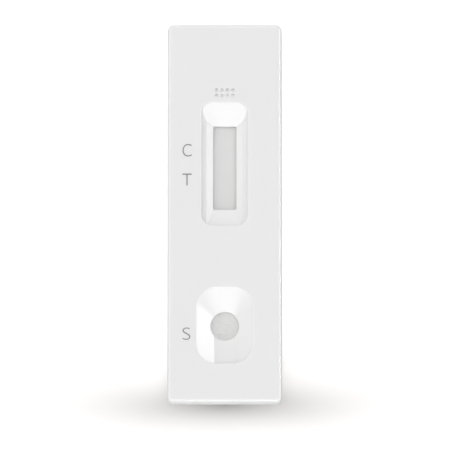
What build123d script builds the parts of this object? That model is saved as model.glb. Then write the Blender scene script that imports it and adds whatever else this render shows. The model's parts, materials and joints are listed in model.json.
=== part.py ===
from build123d import *
import os

# Lateral flow cassette: two press-fitted plastic shells round a layered paper test strip.
# Millimetres. +Z points out of the face that is read and +Y towards the absorbent end.
# The origin is under the middle of the flat underside.

os.makedirs("parts", exist_ok=True)

# Strip, named from the sample end (-Y) to the absorbent end (+Y)
sample_pad_length = 20.0
sample_pad_thickness = 0.6
conjugate_pad_length = 10.0
conjugate_pad_thickness = 0.4
membrane_length = 25.0
membrane_thickness = 0.15
absorbent_pad_length = 11.0
absorbent_pad_thickness = 0.9
card_thickness = 0.3
pad_lap = 2.0  # how far each pad lies over the piece next to it
drape_run = 0.6  # length over which a pad comes down off that piece

# Sample well, a round hole in the floor of an oblong pocket
well_diameter = 5.3
well_setback = 9.2  # from the strip's sample end to the middle of the hole
well_floor_width = 3.8  # level floor between the side slopes
well_side_slope = 3.2
well_near_floor = 7.05  # from the middle of the hole to the near wall
well_far_floor = 1.95  # from there to the foot of the ramp
well_ramp = 5.0
well_floor_corner = 0.3
well_mouth_corner = 3.7
well_rim = 0.25  # upright band under the mouth's edge
well_land = 0.9  # upright wall of the hole, down to the sample pad

# Result window, a slot in the floor of a longer pocket
window_width = 4.3
window_length = 15.5
window_corner = 0.3
window_side_slope = 1.25
window_side_rise = 0.34  # height that the side slopes gain before the steeper banks begin
window_side_bank = 0.55
window_bank_rise = 0.45
window_side_wall = 0.35  # width of the steep walls above the banks
window_near_floor = 3.1
window_near_rise = 0.27
window_ramp = 4.15
window_mouth_corner = 2.1
window_rim = 0.2
window_land = 1.2
membrane_gap = 0.15  # between the membrane and the window's frame
mouth_edge_radius = 0.15

# Shells
wall = 1.2
floor_thickness = 1.0
roof_thickness = 1.1
head_room = 1.05  # between the tallest pad and the roof
seam_height = 2.5
corner_radius = 1.0
cavity_corner = 0.6
draft_angle = 3.0
cover_edge_radius = 0.45
base_edge_radius = 0.45
seam_bevel = 0.12
pocket_skin = 0.7  # the pockets' undersides lie this far below their floors
pocket_wall = 0.7  # thickness of the upright walls round pockets, slot and hole

# Lip of the base, which stands inside the cover's rim
lip_thickness = 0.5
lip_height = 0.6
lip_clearance = 0.06

# Channel that holds the strip
pad_margin = 0.35  # strip beyond the well on each side
side_clearance = 0.15
end_clearance = 0.3
rest_height = 0.5
rest_thickness = 0.8
rest_count = 7
rest_inset = 2.0
rail_thickness = 0.8
guide_length = 3.0
guide_rise = 0.5  # the tall guides stand this far above the absorbent pad
stop_thickness = 0.8
end_bay = 2.7
side_bay = 5.35

# Bars under the cover that press the pads together
bar_thickness = 0.9
bar_inset = 0.4  # bar ends lie this far inside the strip's sides
sample_bar_setback = 1.5

# Press-fit pins and sockets
pin_radius = 0.8
pin_fit = 0.01
pin_tip_gap = 0.3
pin_tip_bevel = 0.2
socket_wall = 0.7
socket_gap = 0.5  # between a socket and the side wall
collar_height = 0.9
collar_gap = 0.1
pin_rows = 4
pin_end_inset = 5.0
web_thickness = 0.7
web_drop = 0.3  # webs stop this far below the seam

# Block of dimples above the window
dimple_diameter = 0.65
dimple_depth = 0.36
dimple_pitch = 1.0
dimple_columns = 4
dimple_rows = 2
dimple_offset = 1.84  # from the window pocket's mouth to the middle of the block

# Strip layout along Y
strip_width = well_diameter + 2 * pad_margin
laps = 3 * pad_lap
strip_length = sample_pad_length + conjugate_pad_length + membrane_length + absorbent_pad_length - laps
strip_start = -strip_length / 2
strip_end = strip_length / 2
sample_pad_end = strip_start + sample_pad_length
conjugate_start = sample_pad_end - pad_lap
conjugate_end = conjugate_start + conjugate_pad_length
membrane_start = conjugate_end - pad_lap
membrane_end = membrane_start + membrane_length
absorbent_start = membrane_end - pad_lap

# Heights above the underside
card_bottom = floor_thickness + rest_height
card_top = card_bottom + card_thickness
membrane_top = card_top + membrane_thickness
sample_pad_top = card_top + sample_pad_thickness
absorbent_top = card_top + absorbent_pad_thickness
sample_lap_top = card_top + conjugate_pad_thickness + sample_pad_thickness
conjugate_lap_top = membrane_top + conjugate_pad_thickness
absorbent_lap_top = membrane_top + absorbent_pad_thickness
roof_bottom = absorbent_lap_top + head_room
case_height = roof_bottom + roof_thickness
well_sill = sample_pad_top + well_land
window_foot = membrane_top + membrane_gap
window_sill = window_foot + window_land

# Plan of the shells
channel_width = strip_width + 2 * side_clearance
cavity_width = channel_width + 2 * (rail_thickness + side_bay)
cavity_length = strip_length + 2 * (end_clearance + stop_thickness + end_bay)
case_width = cavity_width + 2 * wall
case_length = cavity_length + 2 * wall

# Plan of the pockets
window_y = (conjugate_end + absorbent_start) / 2
window_near = window_y - window_length / 2
window_far = window_y + window_length / 2
window_mouth_near = window_near - window_near_floor
window_mouth_far = window_far + window_ramp
window_shoulder_width = window_width + 2 * window_side_slope
window_bank_width = window_shoulder_width + 2 * window_side_bank
window_mouth_width = window_bank_width + 2 * window_side_wall
window_ramp_top = case_height - window_rim
window_shoulder = window_sill + window_side_rise
window_bank_top = window_shoulder + window_bank_rise
window_ramp_pitch = window_ramp / (window_ramp_top - window_sill)
window_shoulder_far = window_far + window_side_rise * window_ramp_pitch
window_bank_far = window_shoulder_far + window_bank_rise * window_ramp_pitch
well_y = strip_start + well_setback
well_ramp_start = well_y + well_far_floor
well_mouth_near = well_y - well_near_floor
well_mouth_far = well_ramp_start + well_ramp
well_mouth_width = well_floor_width + 2 * well_side_slope
well_ramp_top = case_height - well_rim
dimples_y = window_mouth_far + dimple_offset

# Pins and sockets
socket_radius = pin_radius + socket_wall
socket_top = roof_bottom - collar_height - collar_gap
pin_spacing = cavity_width - 2 * (socket_gap + socket_radius)
pin_pitch = (case_length - 2 * pin_end_inset) / (pin_rows - 1)
pin_tip = floor_thickness + pin_tip_gap
pin_length = roof_bottom - collar_height - pin_tip
web_length = socket_gap + socket_radius


def side_outline(foot, thickness):
    """Corners of a pad seen from the side: those of its foot, then those of its top."""
    return foot + [(y, z + thickness) for y, z in reversed(foot)]


# Backing card: white plastic sheet that carries the whole strip
with BuildPart() as backing_card:
    with BuildSketch(Plane.XY.offset(card_bottom)):
        Rectangle(strip_width, strip_length)
    extrude(amount=card_thickness)
backing_card.part.label = "backing_card"

# Membrane: the sheet on which the lines appear, stuck flat to the card
with BuildPart() as membrane:
    with BuildSketch(Plane.XY.offset(card_top)):
        with Locations((0, (membrane_start + membrane_end) / 2)):
            Rectangle(strip_width, membrane_length)
    extrude(amount=membrane_thickness)
membrane.part.label = "membrane"

# Conjugate pad: lies on the card and climbs onto the membrane's near end
with BuildPart() as conjugate_pad:
    foot = [
        (conjugate_start, card_top),
        (membrane_start - drape_run, card_top),
        (membrane_start, membrane_top),
        (conjugate_end, membrane_top),
    ]
    with BuildSketch(Plane.YZ):
        with BuildLine():
            Polyline(*side_outline(foot, conjugate_pad_thickness), close=True)
        make_face()
    extrude(amount=strip_width / 2, both=True)
conjugate_pad.part.label = "conjugate_pad"

# Sample pad: lies on the card under the well and climbs onto the conjugate pad
with BuildPart() as sample_pad:
    foot = [
        (strip_start, card_top),
        (conjugate_start - drape_run, card_top),
        (conjugate_start, card_top + conjugate_pad_thickness),
        (sample_pad_end, card_top + conjugate_pad_thickness),
    ]
    with BuildSketch(Plane.YZ):
        with BuildLine():
            Polyline(*side_outline(foot, sample_pad_thickness), close=True)
        make_face()
    extrude(amount=strip_width / 2, both=True)
sample_pad.part.label = "sample_pad"

# Absorbent pad: climbs onto the membrane's far end and draws the liquid along
with BuildPart() as absorbent_pad:
    foot = [
        (absorbent_start, membrane_top),
        (membrane_end, membrane_top),
        (membrane_end + drape_run, card_top),
        (strip_end, card_top),
    ]
    with BuildSketch(Plane.YZ):
        with BuildLine():
            Polyline(*side_outline(foot, absorbent_pad_thickness), close=True)
        make_face()
    extrude(amount=strip_width / 2, both=True)
absorbent_pad.part.label = "absorbent_pad"

# Each pocket as its levels (height, width, far edge, far corner) from the sill to the rim.
# The window's far corners are mitred, and the well's are cones.
window_levels = [
    (window_sill, window_width, window_far, 0),
    (window_shoulder, window_shoulder_width, window_shoulder_far, 0),
    (window_bank_top, window_bank_width, window_bank_far, 0),
    (window_ramp_top, window_mouth_width, window_mouth_far, 0),
]
well_levels = [
    (well_sill, well_floor_width, well_ramp_start, well_floor_corner),
    (well_ramp_top, well_mouth_width, well_mouth_far, well_mouth_corner),
]
pockets = [
    (window_levels, window_mouth_near, window_near, window_near_rise, window_mouth_corner),
    (well_levels, well_mouth_near, well_ramp_start, 0, well_mouth_corner),
]

# The pockets' spaces, and the solid forms under them, which lie a skin lower and a wall further out
spaces = []
forms = []
for out, down, kept in ((0, 0, spaces), (pocket_wall, pocket_skin, forms)):
    for levels, mouth_near, floor_end, floor_rise, mouth_corner in pockets:
        sill = levels[0][0] - down
        rim, mouth_width, mouth_far = levels[-1][:3]
        with BuildPart() as pocket:
            for height, width, far, corner in levels:
                with BuildSketch(Plane.XY.offset(height - down)) as level:
                    with Locations((0, (far + out - case_length) / 2)):
                        Rectangle(width + 2 * out, far + out + case_length)
                    if corner and not out:
                        fillet(level.vertices().group_by(Axis.Y)[-1], corner)
            loft(ruled=True)
            with BuildSketch(Plane.XY.offset(rim - down)):
                with Locations((0, (mouth_far + out - case_length) / 2)):
                    Rectangle(mouth_width + 2 * out, mouth_far + out + case_length)
            extrude(amount=case_height - rim)
            near_floor = [
                (-case_length, sill + floor_rise),
                (mouth_near - out, sill + floor_rise),
                (floor_end, sill),
                (case_length, sill),
                (case_length, case_height),
                (-case_length, case_height),
            ]
            with BuildSketch(Plane.YZ):
                with BuildLine():
                    Polyline(*near_floor, close=True)
                make_face()
            extrude(amount=case_width, both=True, mode=Mode.INTERSECT)
            with BuildSketch(Plane.XY.offset(sill)):
                with Locations((0, (mouth_near + mouth_far) / 2)):
                    RectangleRounded(
                        mouth_width + 2 * out,
                        mouth_far - mouth_near + 2 * out,
                        mouth_corner + out,
                    )
            extrude(amount=case_height - sill, mode=Mode.INTERSECT)
        kept.append(pocket.part)

# Slot and hole, and the upright walls round them
with BuildPart() as shafts:
    with BuildSketch(Plane.XY.offset(window_foot)):
        with Locations((0, window_y)):
            RectangleRounded(window_width, window_length, window_corner)
    extrude(amount=case_height - window_foot)
    with BuildSketch(Plane.XY.offset(sample_pad_top)):
        with Locations((0, well_y)):
            Circle(well_diameter / 2)
    extrude(amount=case_height - sample_pad_top)
with BuildPart() as shaft_walls:
    with BuildSketch(Plane.XY.offset(window_foot)):
        with Locations((0, window_y)):
            RectangleRounded(
                window_width + 2 * pocket_wall,
                window_length + 2 * pocket_wall,
                window_corner + pocket_wall,
            )
    extrude(amount=window_land)
    with BuildSketch(Plane.XY.offset(sample_pad_top)):
        with Locations((0, well_y)):
            Circle(well_diameter / 2 + pocket_wall)
    extrude(amount=well_land)

# Where the cover's bars press, and how low each one reaches
press_bars = [
    (strip_start + sample_bar_setback, sample_pad_top),
    (sample_pad_end - pad_lap / 2, sample_lap_top),
    (conjugate_end - pad_lap / 2, conjugate_lap_top),
    (absorbent_start + pad_lap / 2, absorbent_lap_top),
    ((membrane_end + strip_end) / 2, absorbent_top),
]

# Cover: the moulded upper shell, with window, well, bars and pins
with BuildPart() as cover:
    with BuildSketch(Plane.XY.offset(seam_height)):
        RectangleRounded(case_width, case_length, corner_radius)
    extrude(amount=case_height - seam_height, taper=draft_angle)
    fillet(cover.edges().group_by(Axis.Z)[-1], cover_edge_radius)
    chamfer(cover.edges().group_by(Axis.Z)[0], seam_bevel)
    with BuildSketch(Plane.XY.offset(seam_height)):
        RectangleRounded(cavity_width, cavity_length, cavity_corner)
    extrude(amount=roof_bottom - seam_height, mode=Mode.SUBTRACT)
    with BuildSketch(Plane.XY.offset(seam_height)):
        RectangleRounded(
            cavity_width + 2 * (lip_thickness + lip_clearance),
            cavity_length + 2 * (lip_thickness + lip_clearance),
            cavity_corner + lip_thickness + lip_clearance,
        )
    extrude(amount=lip_height + lip_clearance, mode=Mode.SUBTRACT)
    for bar_y, bar_level in press_bars:
        with BuildSketch(Plane.XY.offset(bar_level)):
            with Locations((0, bar_y)):
                Rectangle(strip_width - 2 * bar_inset, bar_thickness)
        extrude(amount=roof_bottom - bar_level)
    with BuildSketch(Plane.XY.offset(roof_bottom)):
        with GridLocations(pin_spacing, pin_pitch, 2, pin_rows):
            Circle(socket_radius)
    extrude(amount=-collar_height)
    with BuildSketch(Plane.XY.offset(roof_bottom - collar_height)):
        with GridLocations(pin_spacing, pin_pitch, 2, pin_rows):
            Circle(pin_radius)
    extrude(amount=-pin_length)
    chamfer(cover.edges().group_by(Axis.Z)[0], pin_tip_bevel)
    for form in forms:
        add(form)
    add(shaft_walls.part)
    for space in spaces:
        add(space, mode=Mode.SUBTRACT)
    add(shafts.part, mode=Mode.SUBTRACT)
    reading_face = cover.faces().sort_by(Axis.Z)[-1]
    fillet(reading_face.inner_wires().edges(), mouth_edge_radius)
    with BuildSketch(Plane.XY.offset(case_height)):
        with Locations((0, dimples_y)):
            with GridLocations(dimple_pitch, dimple_pitch, dimple_columns, dimple_rows):
                Circle(dimple_diameter / 2)
    extrude(amount=-dimple_depth, mode=Mode.SUBTRACT)
cover.part.label = "cover"

# Tall guides beside the strip, and the rails between them
between_mouths = (well_mouth_far + window_mouth_near) / 2
guide_places = [between_mouths, (membrane_end + strip_end) / 2]
guide_top = absorbent_top + guide_rise
rail_length = strip_length + 2 * (end_clearance + stop_thickness)

# Base: the moulded lower shell, with the strip's channel and the sockets
with BuildPart() as base:
    with BuildSketch(Plane((0, 0, seam_height), x_dir=(1, 0, 0), z_dir=(0, 0, -1))):
        RectangleRounded(case_width, case_length, corner_radius)
    extrude(amount=seam_height, taper=draft_angle)
    fillet(base.edges().group_by(Axis.Z)[0], base_edge_radius)
    chamfer(base.edges().group_by(Axis.Z)[-1], seam_bevel)
    with BuildSketch(Plane.XY.offset(floor_thickness)):
        RectangleRounded(cavity_width, cavity_length, cavity_corner)
    extrude(amount=seam_height - floor_thickness, mode=Mode.SUBTRACT)
    with BuildSketch(Plane.XY.offset(seam_height)):
        RectangleRounded(
            cavity_width + 2 * lip_thickness,
            cavity_length + 2 * lip_thickness,
            cavity_corner + lip_thickness,
        )
        RectangleRounded(cavity_width, cavity_length, cavity_corner, mode=Mode.SUBTRACT)
    extrude(amount=lip_height)
    with BuildSketch(Plane.XY.offset(floor_thickness)):
        with GridLocations(channel_width + rail_thickness, 0, 2, 1):
            Rectangle(rail_thickness, rail_length)
    extrude(amount=membrane_top - floor_thickness)
    with BuildSketch(Plane.XY.offset(floor_thickness)):
        for guide_y in guide_places:
            with Locations((0, guide_y)):
                with GridLocations(channel_width + rail_thickness, 0, 2, 1):
                    Rectangle(rail_thickness, guide_length)
        with GridLocations(0, strip_length + 2 * end_clearance + stop_thickness, 1, 2):
            Rectangle(channel_width + 2 * rail_thickness, stop_thickness)
    extrude(amount=guide_top - floor_thickness)
    with BuildSketch(Plane.XY.offset(floor_thickness)):
        with GridLocations(0, (strip_length - 2 * rest_inset) / (rest_count - 1), 1, rest_count):
            Rectangle(channel_width, rest_thickness)
    extrude(amount=rest_height)
    with BuildSketch(Plane.XY.offset(floor_thickness)):
        with GridLocations(cavity_width - web_length, pin_pitch, 2, pin_rows):
            Rectangle(web_length, web_thickness)
    extrude(amount=seam_height - web_drop - floor_thickness)
    with BuildSketch(Plane.XY.offset(floor_thickness)):
        with GridLocations(pin_spacing, pin_pitch, 2, pin_rows):
            Circle(socket_radius)
    extrude(amount=socket_top - floor_thickness)
    with BuildSketch(Plane.XY.offset(floor_thickness)):
        with GridLocations(pin_spacing, pin_pitch, 2, pin_rows):
            RegularPolygon(pin_radius + pin_fit, 6, major_radius=False)
    extrude(amount=socket_top - floor_thickness, mode=Mode.SUBTRACT)
base.part.label = "base"

for piece in (base, backing_card, membrane, conjugate_pad, sample_pad, absorbent_pad, cover):
    export_step(piece.part, f"parts/{piece.part.label}.step")
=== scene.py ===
import json
import math

import bmesh
import bpy
from mathutils import Matrix, Vector, noise


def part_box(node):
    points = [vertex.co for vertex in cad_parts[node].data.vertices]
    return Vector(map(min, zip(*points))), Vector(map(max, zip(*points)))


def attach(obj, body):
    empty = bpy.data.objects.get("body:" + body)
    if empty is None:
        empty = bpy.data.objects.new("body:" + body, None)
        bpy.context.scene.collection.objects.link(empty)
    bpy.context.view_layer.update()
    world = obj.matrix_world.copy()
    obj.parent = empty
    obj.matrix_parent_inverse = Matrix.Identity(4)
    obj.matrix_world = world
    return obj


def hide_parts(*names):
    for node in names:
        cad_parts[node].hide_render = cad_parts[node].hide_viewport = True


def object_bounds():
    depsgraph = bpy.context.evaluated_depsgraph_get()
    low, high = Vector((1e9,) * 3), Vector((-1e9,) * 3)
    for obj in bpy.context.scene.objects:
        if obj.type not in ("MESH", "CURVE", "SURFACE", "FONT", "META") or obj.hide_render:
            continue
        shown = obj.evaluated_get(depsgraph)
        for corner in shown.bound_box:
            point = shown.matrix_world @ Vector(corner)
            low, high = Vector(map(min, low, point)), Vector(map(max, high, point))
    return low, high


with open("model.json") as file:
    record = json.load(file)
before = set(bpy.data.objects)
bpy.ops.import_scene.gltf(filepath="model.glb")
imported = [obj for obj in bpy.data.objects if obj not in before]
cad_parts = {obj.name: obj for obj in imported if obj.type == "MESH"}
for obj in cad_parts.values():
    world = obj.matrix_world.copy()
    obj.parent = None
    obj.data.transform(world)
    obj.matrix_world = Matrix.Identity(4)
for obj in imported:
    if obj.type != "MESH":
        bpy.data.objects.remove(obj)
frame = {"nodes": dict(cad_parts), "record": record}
cad_low, cad_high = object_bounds()
MM = 0.001


# The bench is a pale matt board, larger than the view, on which the cassette lies.
# It glows a little, as one lit from below does, and a shadow painted into it before the lower end dims
# it.
# It is seen from above only, and open under the cassette, so that the underside shows in light.
def add(tree, kind, inputs=None, **settings):
    """Adds a node with these settings, and fills its sockets with values or with links."""
    made = tree.nodes.new(kind)
    for name, value in settings.items():
        setattr(made, name, value)
    for name, value in (inputs or {}).items():
        if isinstance(value, bpy.types.NodeSocket):
            tree.links.new(value, made.inputs[name])
        else:
            made.inputs[name].default_value = value
    return made


def reckon(tree, operation, *values):
    """One step of arithmetic on values or links."""
    return add(tree, "ShaderNodeMath", dict(enumerate(values)), operation=operation).outputs[0]


def ramp(tree, value, start, end, low=0.0, high=1.0, how="SMOOTHSTEP"):
    """Takes a value between two bounds to a value between two others."""
    return add(
        tree,
        "ShaderNodeMapRange",
        {"Value": value, "From Min": start, "From Max": end, "To Min": low, "To Max": high},
        interpolation_type=how,
    ).outputs[0]


def empty_material(name):
    """A new material without nodes, and its tree."""
    made = bpy.data.materials.new(name)
    made.use_nodes = True
    made.node_tree.nodes.clear()
    return made, made.node_tree


def new_object(name, shape):
    """Puts a finished bmesh in the scene, as an object of this name."""
    data = bpy.data.meshes.new(name)
    shape.to_mesh(data)
    shape.free()
    made = bpy.data.objects.new(name, data)
    bpy.context.scene.collection.objects.link(made)
    return made


bench_side = 1.6  # metres
bench_gap = 0.02 * MM  # air under the cassette
bench_rim = 0.5 * MM  # how far the bench reaches under the cassette
bench_tone = 0.9
bench_glow = 0.4
# the glow's warm tint is what colours the painted shadow
bench_glow_colour = (1, 0.93, 0.9, 1)
bench_return = 0.65  # the tone with which it throws light back on the cassette
# The shadow before the lower end is painted on the board, not cast: an oval that fades sideways and away
# from the wall.
painted_shadow_reach = Vector((26 * MM, 4.8 * MM))  # where it is 1/e as deep, sideways and before the wall
painted_shadow_depth = 0.665

bench_mesh = bmesh.new()
bench_place = Matrix.Translation((0, 0, cad_low[2] - bench_gap))
bmesh.ops.create_grid(bench_mesh, x_segments=1, y_segments=1, size=bench_side / 2, matrix=bench_place)
for across, half_size in ((Vector((1, 0, 0)), cad_high[0]), (Vector((0, 1, 0)), cad_high[1])):
    for way in (-1, 1):
        whole = [*bench_mesh.verts, *bench_mesh.edges, *bench_mesh.faces]
        cut = way * (half_size - bench_rim) * across
        bmesh.ops.bisect_plane(bench_mesh, geom=whole, plane_co=cut, plane_no=across)
under_cassette = min(bench_mesh.faces, key=lambda face: face.calc_center_median().length)
bmesh.ops.delete(bench_mesh, geom=[under_cassette], context="FACES")
bench = new_object("bench", bench_mesh)

bench_board, tree = empty_material("bench_board")
place = add(tree, "ShaderNodeTexCoord").outputs["Object"]
# painted shadow: the board's tone and glow are dimmed by an oval set in its own coordinates
painted_shadow_place = add(
    tree,
    "ShaderNodeMapping",
    {
        "Vector": place,
        "Location": (0, -cad_low[1] / painted_shadow_reach.y, 0),
        "Scale": (1 / painted_shadow_reach.x, 1 / painted_shadow_reach.y, 0),
    },
).outputs[0]
away = add(tree, "ShaderNodeVectorMath", {0: painted_shadow_place}, operation="LENGTH").outputs["Value"]
painted_shadow = reckon(tree, "POWER", 1 / math.e, away)
light_left_by_painted_shadow = ramp(tree, painted_shadow, 0, 1, 1, 1 - painted_shadow_depth, "LINEAR")
to_camera = add(tree, "ShaderNodeLightPath").outputs["Is Camera Ray"]
seen_tone = reckon(tree, "MULTIPLY", light_left_by_painted_shadow, bench_tone)
board_tone = ramp(tree, to_camera, 0, 1, bench_return, seen_tone, "LINEAR")
seen_glow = reckon(tree, "MULTIPLY", light_left_by_painted_shadow, bench_glow)
board_glow = reckon(tree, "MULTIPLY", seen_glow, to_camera)
board = add(tree, "ShaderNodeBsdfDiffuse", {"Color": board_tone}).outputs[0]
glow = add(tree, "ShaderNodeEmission", {"Color": bench_glow_colour, "Strength": board_glow}).outputs[0]
lit_board = add(tree, "ShaderNodeAddShader", {0: board, 1: glow}).outputs[0]
from_below = add(tree, "ShaderNodeNewGeometry").outputs["Backfacing"]
clear = add(tree, "ShaderNodeBsdfTransparent").outputs[0]
seen_board = add(tree, "ShaderNodeMixShader", {0: from_below, 1: lit_board, 2: clear}).outputs[0]
add(tree, "ShaderNodeOutputMaterial", {"Surface": seen_board})
bench.data.materials.append(bench_board)


# The camera looks down from the lower end, 8 degrees off straight above, through a long lens.
# The picture is 450 pixels wide, and 0.184 mm of the cassette falls on each.
picture_pixels = 450
pixel_size = 0.1837 * MM
camera_elevation = math.radians(82)
aim = Vector((0.046 * MM, -1.95 * MM, 2.5 * MM))
lens = 500  # mm, as a camera's focal length is given
clip_factor = 10  # the view is cut at the distance over this, and at the distance times this

camera_data = bpy.data.cameras.new("camera")
camera_data.lens = lens
distance = picture_pixels * pixel_size * lens / camera_data.sensor_width
camera_data.clip_start = distance / clip_factor
camera_data.clip_end = distance * clip_factor
camera = bpy.data.objects.new("camera", camera_data)
towards_camera = Vector((0, -math.cos(camera_elevation), math.sin(camera_elevation)))
camera.location = aim + towards_camera * distance
camera.rotation_euler = (math.pi / 2 - camera_elevation, 0, 0)
bpy.context.scene.collection.objects.link(camera)
bpy.context.scene.camera = camera


# Cover and base are injection moulded in white polystyrene, in one tool of two cavities.
# The cavity is spark-eroded to a fine satin grain, and the flow leaves slow drifts of tone.
def new_group(name, inputs, outputs):
    """A shader node group with these named number sockets, and its ends."""
    made = bpy.data.node_groups.new(name, "ShaderNodeTree")
    for socket, value in inputs.items():
        added = made.interface.new_socket(socket, in_out="INPUT", socket_type="NodeSocketFloat")
        added.default_value = value
    for socket in outputs:
        made.interface.new_socket(socket, in_out="OUTPUT", socket_type="NodeSocketFloat")
    start = made.nodes.new("NodeGroupInput")
    end = made.nodes.new("NodeGroupOutput")
    return made, start.outputs, end.inputs


def place_in_mm(tree):
    """Where a point of the surface lies, in millimetres."""
    place = add(tree, "ShaderNodeTexCoord").outputs["Object"]
    return add(tree, "ShaderNodeVectorMath", {0: place, "Scale": 1 / MM}, operation="SCALE").outputs[0]


def about(tree, mask, middle, spread):
    """A mask from 0 to 1 turned into a value that swings about the middle."""
    swing = reckon(tree, "SUBTRACT", mask, 0.5)
    return reckon(tree, "MULTIPLY_ADD", swing, spread, middle)


satin_spread = 0.06  # of the roughness, from one drift to the next
moulded_grain, given, put = new_group(
    "moulded_grain",
    {"Grain": 7.0, "Drift": 0.09, "Tone": 0.8, "Tone Spread": 0.02, "Roughness": 0.36},
    ("Tone", "Roughness", "Height"),
)
in_mm = place_in_mm(moulded_grain)
drift = add(
    moulded_grain, "ShaderNodeTexNoise", {"Vector": in_mm, "Scale": given["Drift"], "Detail": 2.0}
).outputs["Fac"]
grain = add(
    moulded_grain,
    "ShaderNodeTexNoise",
    {"Vector": in_mm, "Scale": given["Grain"], "Detail": 3.0, "Roughness": 0.6},
).outputs["Fac"]
moulded_grain.links.new(about(moulded_grain, drift, given["Tone"], given["Tone Spread"]), put["Tone"])
moulded_grain.links.new(about(moulded_grain, drift, given["Roughness"], satin_spread), put["Roughness"])
moulded_grain.links.new(grain, put["Height"])


def use_group(tree, group, values):
    """Places a group in a material with its own values."""
    return add(tree, "ShaderNodeGroup", values, node_tree=group).outputs


def finish_material(tree, surface, tint, relief, settings):
    """Gives a material its shader, from a surface's tone, roughness and height."""
    tinted = add(tree, "ShaderNodeVectorMath", {0: tint, "Scale": surface["Tone"]}, operation="SCALE")
    bump = add(tree, "ShaderNodeBump", {"Height": surface["Height"], "Distance": relief})
    varied = {
        "Base Color": tinted.outputs[0],
        "Roughness": surface["Roughness"],
        "Normal": bump.outputs[0],
    }
    shader = add(tree, "ShaderNodeBsdfPrincipled", {**varied, **settings})
    add(tree, "ShaderNodeOutputMaterial", {"Surface": shader.outputs[0]})


def dress(node, material):
    """Gives a CAD node's object a material."""
    data = frame["nodes"][node].data
    data.materials.clear()
    data.materials.append(material)


plain_white = (1.0, 1.0, 1.0)
grain_depth = 0.004 * MM
light_reach = 0.5 * MM  # how far light spreads under the plastic's skin
shell_settings = {
    "IOR": 1.59,
    "Subsurface Weight": 0.6,
    "Subsurface Radius": (1, 1, 1),
    "Subsurface Scale": light_reach,
}
for node in ("cover", "base"):
    polystyrene, tree = empty_material(node + "_plastic")
    surface = use_group(tree, moulded_grain, {})
    finish_material(tree, surface, plain_white, grain_depth, shell_settings)
    dress(node, polystyrene)


# The backing card is rolled vinyl sheet 0.3 mm thick, with glue on its face and cut edges.
# Rolling leaves it smooth, with faint streaks that run along the cassette.
streaks_across = 4 / MM
streaks_along = 0.12 / MM
streak_depth = 0.003 * MM
card_white = (1.0, 0.997, 0.985)

rolled_card, tree = empty_material("rolled_card")
place = add(tree, "ShaderNodeTexCoord").outputs["Object"]
streak_scale = (streaks_across, streaks_along, streaks_across)
along = add(tree, "ShaderNodeMapping", {"Vector": place, "Scale": streak_scale}).outputs[0]
streaks = add(tree, "ShaderNodeTexNoise", {"Vector": along, "Scale": 1.0, "Detail": 3.0}).outputs["Fac"]
surface = {
    "Tone": about(tree, streaks, middle=0.86, spread=0.05),
    "Roughness": about(tree, streaks, middle=0.3, spread=0.15),
    "Height": streaks,
}
finish_material(tree, surface, card_white, streak_depth, {"IOR": 1.54})
dress("backing_card", rolled_card)


# The membrane is nitrocellulose cast on a clear film, matt and full of pores a few microns wide.
# Its two lines of dried reagent don't show before the test is run.
pore_depth = 0.006 * MM
membrane_white = (1.0, 1.0, 0.995)

porous_film, tree = empty_material("porous_film")
# The membrane is white; its tone here is set lower, as painted shade of the window's recess.
surface = use_group(
    tree,
    moulded_grain,
    {"Grain": 16.0, "Drift": 0.35, "Tone": 0.71, "Tone Spread": 0.03, "Roughness": 0.85},
)
finish_material(tree, surface, membrane_white, pore_depth, {"IOR": 1.4})
dress("membrane", porous_film)


# The three pads are felts: cotton under the well, glass fibre beyond it, blotting paper at the end.
# They are pressed from wet fibre, cut clean at their sides, and squeezed where the cover's bars bear.
fibre_lengths = 9  # a fibre's length in widths
fibre_turns = (0.3, 1.4, 2.5)  # radians, how the three layers of fibres lie
fibre_edge = 0.12  # of the noise, from a fibre's middle to its edge
fibre_shine_spread = 0.1

felted_fibre, given, put = new_group(
    "felted_fibre",
    {"Fibre": 4.0, "Tone": 0.8, "Tone Spread": 0.08, "Roughness": 0.9},
    ("Tone", "Roughness", "Height"),
)
in_mm = place_in_mm(felted_fibre)
on_top = 0.0
for turn in fibre_turns:
    turned = add(
        felted_fibre,
        "ShaderNodeMapping",
        {"Vector": in_mm, "Rotation": (0, 0, turn), "Scale": (1 / fibre_lengths, 1, 1)},
    ).outputs[0]
    strands = add(
        felted_fibre,
        "ShaderNodeTexNoise",
        {"Vector": turned, "Scale": given["Fibre"], "Detail": 2.0, "Distortion": 0.5},
    ).outputs["Fac"]
    off_line = reckon(felted_fibre, "ABSOLUTE", reckon(felted_fibre, "SUBTRACT", strands, 0.5))
    layer = ramp(felted_fibre, off_line, 0, fibre_edge, 1, 0)
    on_top = reckon(felted_fibre, "MAXIMUM", on_top, layer)
felted_fibre.links.new(about(felted_fibre, on_top, given["Tone"], given["Tone Spread"]), put["Tone"])
shine = about(felted_fibre, on_top, given["Roughness"], fibre_shine_spread)
felted_fibre.links.new(shine, put["Roughness"])
felted_fibre.links.new(on_top, put["Height"])


def felt(name, fibre, tone, tint, loft):
    """A felt of white fibres; fibre is how many lie side by side in a millimetre."""
    made, tree = empty_material(name)
    surface = use_group(tree, felted_fibre, {"Fibre": fibre, "Tone": tone})
    finish_material(tree, surface, tint, loft, {"IOR": 1.45})
    return made


same_point = 0.001 * MM  # corners nearer than this are one
tufts_per_mm = 3.1
tuft_fall = 1.0  # how finer tufts weaken
tuft_step = 2.0  # how much finer each kind is than the one before
tuft_kinds = 3


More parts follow.
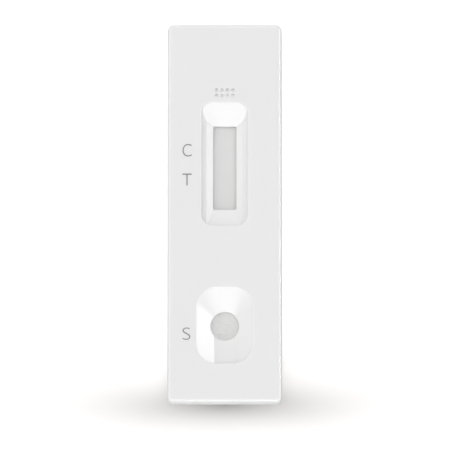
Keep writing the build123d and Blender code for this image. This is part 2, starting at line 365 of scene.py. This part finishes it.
def felt_pad(node, material, voxel, relief):
    """A pad remeshed from a copy of its solid, with its skin sunk unevenly between the fibres."""
    solid = bmesh.new()
    solid.from_mesh(frame["nodes"][node].data)
    bmesh.ops.remove_doubles(solid, verts=solid.verts, dist=same_point)
    pad = new_object(node + "_felt", solid)
    remesh = pad.modifiers.new("remesh", "REMESH")
    remesh.mode = "VOXEL"
    remesh.voxel_size = voxel
    fine = bpy.data.meshes.new_from_object(pad.evaluated_get(bpy.context.evaluated_depsgraph_get()))
    pad.modifiers.clear()
    pad.data = fine
    sinks = []
    for vertex in fine.vertices:
        spot = vertex.co / MM * tufts_per_mm
        tuft = max(-1, min(1, noise.fractal(spot, tuft_fall, tuft_step, tuft_kinds)))
        sinks.append(vertex.normal * relief * (1 + tuft) / 2)
    for vertex, sink in zip(fine.vertices, sinks):
        vertex.co -= sink
    fine.materials.append(material)
    fine.shade_smooth()
    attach(pad, "root")
    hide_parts(node)
    return pad


# Cotton is white; the cotton felt's tone is set lower than the other felts', as painted shade of the
# well where it shows.
cotton_felt = felt("cotton_felt", fibre=5.0, tone=0.69, tint=(1.0, 0.998, 0.985), loft=0.02 * MM)
glass_felt = felt("glass_felt", fibre=9.0, tone=0.8, tint=(1.0, 0.975, 0.965), loft=0.012 * MM)
blotting_felt = felt("blotting_felt", fibre=3.5, tone=0.82, tint=(1.0, 0.998, 0.98), loft=0.03 * MM)
sample_felt = felt_pad("sample_pad", cotton_felt, voxel=0.085 * MM, relief=0.02 * MM)
felt_pad("conjugate_pad", glass_felt, voxel=0.085 * MM, relief=0.015 * MM)
felt_pad("absorbent_pad", blotting_felt, voxel=0.1 * MM, relief=0.03 * MM)

# The sample pad swells a little into the well's hole, inside the ring that presses it down.
# The swell is highest in the middle and runs out flat at its rim.
swell = 0.11 * MM
swell_share = 0.96  # of the hole's radius
face_band = 0.05 * MM  # how far the pad's face may lie from its nominal height

well = next(mount for mount in frame["record"]["mounts"] if mount["name"] == "sample_well")
well_middle = Vector(well["pos_m"])
swell_radius = swell_share * well["dims"]["r_mm"] * MM
pad_face = well_middle.z - well["dims"]["length_mm"] / 2 * MM
for vertex in sample_felt.data.vertices:
    out = (vertex.co - well_middle).to_2d().length / swell_radius
    if out < 1 and abs(vertex.co.z - pad_face) < face_band:
        vertex.co.z += swell * (1 - out**2) ** 2


# The letters beside the well and the window are a film of grey ink, pad printed on the cover.
# S stands for the sample, and C and T for the control line and the test line.
def letter_walls(letter, trim):
    """The walls of a letter in plain type, with this much taken off each side of a stroke."""
    written = bpy.data.curves.new("letter_" + letter, "FONT")
    written.body = letter
    written.extrude = 1.0  # scaled to the film's thickness later
    written.offset = -trim
    written.fill_mode = "NONE"
    holder = bpy.data.objects.new("letter_" + letter, written)
    bpy.context.scene.collection.objects.link(holder)
    traced = bpy.data.meshes.new_from_object(holder.evaluated_get(bpy.context.evaluated_depsgraph_get()))
    bpy.data.objects.remove(holder)
    walls = bmesh.new()
    walls.from_mesh(traced)
    return walls


ink_relief = 0  # the film dries level
pale_ink, tree = empty_material("pale_ink")
surface = use_group(
    tree,
    moulded_grain,
    {"Grain": 18.0, "Drift": 2.0, "Tone": 0.2, "Tone Spread": 0.06, "Roughness": 0.5},
)
finish_material(tree, surface, plain_white, ink_relief, {"IOR": 1.5})

cover_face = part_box("cover")[1][2]
ink_sunk = 0.002 * MM
ink_thickness = 0.008 * MM
letter_places = {  # middle and size in mm, and the trim in shares of the type's size
    "C": ((-6.91, 11.56), (1.68, 2.3), 0.018),
    "T": ((-6.92, 6.12), (1.7, 2.2), 0.016),
    "S": ((-7.05, -22.36), (1.46, 2.24), 0.021),
}
for letter, (middle, size, trim) in letter_places.items():
    film = letter_walls(letter, trim)
    corners = [vertex.co for vertex in film.verts]
    lowest = Vector(min(corner[axis] for corner in corners) for axis in range(3))
    highest = Vector(max(corner[axis] for corner in corners) for axis in range(3))
    span = highest - lowest
    stretch = (size[0] * MM / span.x, size[1] * MM / span.y, ink_thickness / span.z)
    place = (middle[0] * MM, middle[1] * MM, cover_face - ink_sunk + ink_thickness / 2)
    bmesh.ops.translate(film, verts=film.verts, vec=-(lowest + highest) / 2)
    bmesh.ops.scale(film, verts=film.verts, vec=stretch)
    bmesh.ops.translate(film, verts=film.verts, vec=place)
    bmesh.ops.remove_doubles(film, verts=film.verts, dist=same_point)
    bmesh.ops.holes_fill(film, edges=film.edges)
    # the faces are cut in two at the letter's middle, so that they fall into clean triangles
    whole = [*film.verts, *film.edges, *film.faces]
    bmesh.ops.bisect_plane(film, geom=whole, plane_co=place, plane_no=(1, 0, 0))
    bmesh.ops.triangulate(film, faces=film.faces, ngon_method="BEAUTY")
    bmesh.ops.recalc_face_normals(film, faces=film.faces)
    printed = new_object("print_" + letter, film)
    printed.data.materials.append(pale_ink)
    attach(printed, "root")


# The light is a white tent with a wide softbox in its top. Small softboxes round the cassette show
# in its sheen only, and brighten the slopes that are bright in the photo. Two more, which don't
# show in the sheen, fill the banks that face left and the end wall.
world = bpy.data.worlds.new("tent")
world.use_nodes = True
tent = world.node_tree
tent.nodes.clear()
direction = add(tent, "ShaderNodeTexCoord").outputs["Generated"]
ray = add(tent, "ShaderNodeLightPath").outputs


def softbox(azimuth, elevation, inner, outer, strength):
    """A round light, even within the inner angle and gone at the outer one.

    Its azimuth turns from the cassette's lower end to its right.
    """
    turn, lift = math.radians(azimuth), math.radians(elevation)
    middle = (math.sin(turn) * math.cos(lift), -math.cos(turn) * math.cos(lift), math.sin(lift))
    nearness = add(tent, "ShaderNodeVectorMath", {0: direction, 1: middle}, operation="DOT_PRODUCT")
    start, end = (math.cos(math.radians(angle)) for angle in (outer, inner))
    return ramp(tent, nearness.outputs["Value"], start, end, 0, strength)


def together(lights):
    """The lights' strengths added up."""
    total = 0.0
    for light in lights:
        total = reckon(tent, "ADD", total, light)
    return total


tent_strength = 0.66
top_box = softbox(0, 90, 22, 40, 0.95)
sheen_boxes = (
    softbox(0, 62, 8, 17, 4.9),  # on the ramps at the upper ends of the pockets
    softbox(50, 52, 8, 18, 2.4),  # on the ramps' left corners
    softbox(100, 37, 6, 16, 11.5),  # on the well's left slope
    softbox(105, 62, 4, 12, 4.0),  # on the strip at the window's left
    softbox(180, 56, 5, 16, 3.0),  # on the lower ends of the pockets
    softbox(180, 34, 8, 20, 2.0),  # on the far edge
)
fill_boxes = (
    softbox(-90, 30, 10, 40, 0.7),  # on the banks that face left
    softbox(0, 10, 8, 30, 2.6),  # on the end wall
)
sheen = reckon(tent, "MULTIPLY", together(sheen_boxes), ray["Is Glossy Ray"])
fill = reckon(tent, "MULTIPLY", together(fill_boxes), ray["Is Diffuse Ray"])
strength = together((sheen, fill, top_box, tent_strength))
sky = add(tent, "ShaderNodeBackground", {"Color": (1, 1, 1, 1), "Strength": strength})
add(tent, "ShaderNodeOutputWorld", {"Surface": sky.outputs[0]})
bpy.context.scene.world = world

# The tones reach the picture as they are rendered.
bpy.context.scene.view_settings.view_transform = "Standard"
